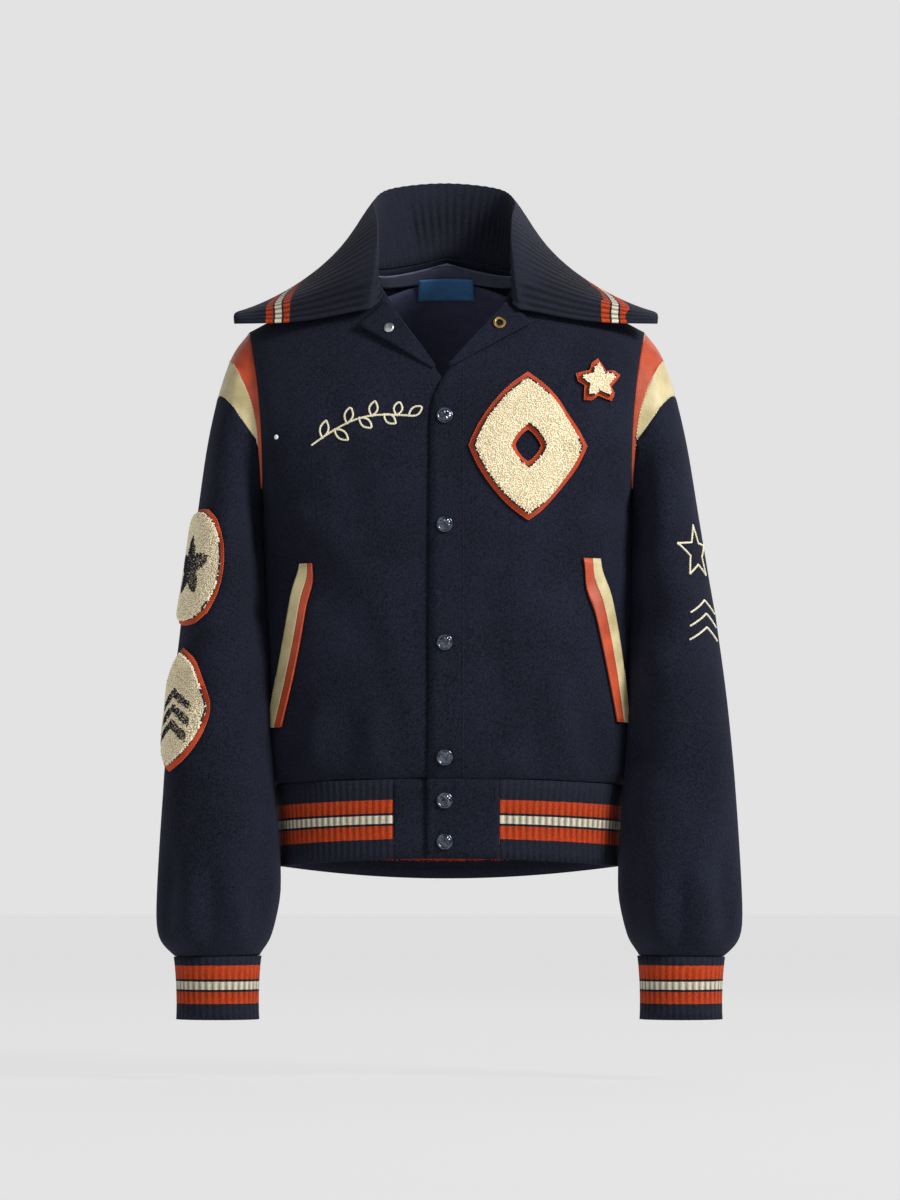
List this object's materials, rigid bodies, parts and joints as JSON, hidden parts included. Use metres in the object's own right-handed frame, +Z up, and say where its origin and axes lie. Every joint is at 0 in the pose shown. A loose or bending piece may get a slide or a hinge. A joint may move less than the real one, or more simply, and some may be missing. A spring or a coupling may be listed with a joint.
{
  "type": "varsity jacket",
  "caption": "Worn-form varsity jacket: navy wool body and sleeves, wide folded rib collar, striped rib waist and cuffs, leather shoulder bands, snap front and chenille patches.",
  "frame": {"origin": "on the middle line at the height of the side neck points, where the wearer's shoulders and neck hold the jacket up", "axes": "+Z up, -Y the jacket's front, +X the wearer's left"},
  "size_m": [0.563, 0.2632, 0.8252],
  "materials": {
    "wool": "dense dark navy melton wool with a short diagonal nap",
    "rib_knit": "dark navy rib knit with orange and cream stripes",
    "facing": "navy cotton twill tape",
    "lining": "dark navy lining",
    "label": "blank woven blue label",
    "orange_leather": "smooth orange leather, softly creased",
    "cream_leather": "smooth cream leather, softly creased",
    "orange_felt": "orange wool felt",
    "cream_chenille": "cream looped chenille pile",
    "dark_chrome": "polished dark chrome",
    "brass": "worn brass",
    "white_stud": "small white stud"
  },
  "bodies": {
    "root": {"front_right": "wool", "front_left": "wool", "back": "wool", "lapel_right": "wool", "lapel_left": "wool", "neck_facing": "facing", "lining_back": "lining", "neck_label": "label", "collar": "rib_knit", "waist_rib": "rib_knit", "waist_tab_right": "wool", "waist_tab_left": "wool", "sleeve_right": "wool", "sleeve_left": "wool", "shoulder_cap_right": "orange_leather", "shoulder_cap_left": "orange_leather", "shoulder_band_right": "cream_leather", "shoulder_band_left": "cream_leather", "cuff_right": "rib_knit", "cuff_left": "rib_knit", "pocket_welt_cream_right": "cream_leather", "pocket_welt_cream_left": "cream_leather", "pocket_welt_orange_right": "orange_leather", "pocket_welt_orange_left": "orange_leather", "neck_snap_stud": "dark_chrome", "neck_snap_socket": "brass", "small_stud": "white_stud", "chest_felt": "orange_felt", "chest_chenille": "cream_chenille", "star_felt": "orange_felt", "star_chenille": "cream_chenille", "upper_patch_felt": "orange_felt", "upper_patch_chenille": "cream_chenille", "lower_patch_felt": "orange_felt", "lower_patch_chenille": "cream_chenille", "snap_1": "dark_chrome", "snap_2": "dark_chrome", "snap_3": "dark_chrome", "snap_4": "dark_chrome", "snap_5": "dark_chrome", "snap_6": "dark_chrome"}
  },
  "joints": []
}
